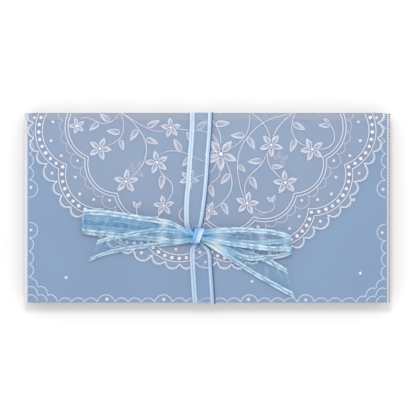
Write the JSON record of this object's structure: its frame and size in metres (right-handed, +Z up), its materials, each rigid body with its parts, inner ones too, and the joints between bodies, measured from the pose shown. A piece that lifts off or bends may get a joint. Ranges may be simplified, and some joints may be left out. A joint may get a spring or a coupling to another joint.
{
  "type": "wedding card box",
  "caption": "Shallow lidded card box in blue card stock with a translucent lace parchment flap, raised pearls and a sheer ribbon bow.",
  "frame": {"origin": "middle of the underside, where the closed box rests on a table, lying on its back", "axes": "+X along the box's length, +Y towards the hinged long edge, +Z up out of the decorated front"},
  "size_m": [0.21, 0.1094, 0.0187],
  "materials": {
    "card_stock": "solid pearlescent blue card stock",
    "card_stock_inner": "inside face of the blue card stock",
    "liner_paper": "white lining paper",
    "card_paper": "smooth white card",
    "parchment": "translucent embossed parchment paper",
    "pearl": "raised white pearl paint",
    "ribbon": "sheer organza with satin edges"
  },
  "bodies": {
    "tray": {"base_panel": "card_stock", "front_wall": "card_stock", "back_wall": "card_stock", "left_wall": "card_stock", "right_wall": "card_stock", "glue_tab_front_left": "card_stock_inner", "glue_tab_front_right": "card_stock_inner", "glue_tab_back_left": "card_stock_inner", "glue_tab_back_right": "card_stock_inner", "tray_liner": "liner_paper", "wedding_card": "card_paper", "card_overlay": "parchment", "flap_glue_strip": "parchment", "ribbon_back_run": "ribbon", "ribbon_front_wall_run": "ribbon", "ribbon_back_wall_run": "ribbon"},
    "lid": {"lid_board": "card_stock", "lid_overlay": "parchment", "lid_tuck_flap": "card_stock_inner", "lid_star_pearls": "pearl"},
    "flap": {"flap_sheet": "parchment", "channel_pearls": "pearl", "flap_star_pearls": "pearl", "ribbon_strap_upper": "ribbon", "ribbon_strap_lower": "ribbon", "bow_knot": "ribbon", "bow_loop_left": "ribbon", "bow_loop_right": "ribbon", "bow_tail_left": "ribbon", "bow_tail_right": "ribbon"}
  },
  "joints": [
    {"name": "lid_hinge", "type": "hinge", "parent": "tray", "child": "lid", "pos_m": [0, 0.054, 0.01075], "axis": [-1, 0, 0], "range_deg": [0, 95]},
    {"name": "flap_hinge", "type": "hinge", "parent": "lid", "child": "flap", "pos_m": [0, 0.054, 0.0121], "axis": [-1, 0, 0], "range_deg": [0, 80]}
  ]
}
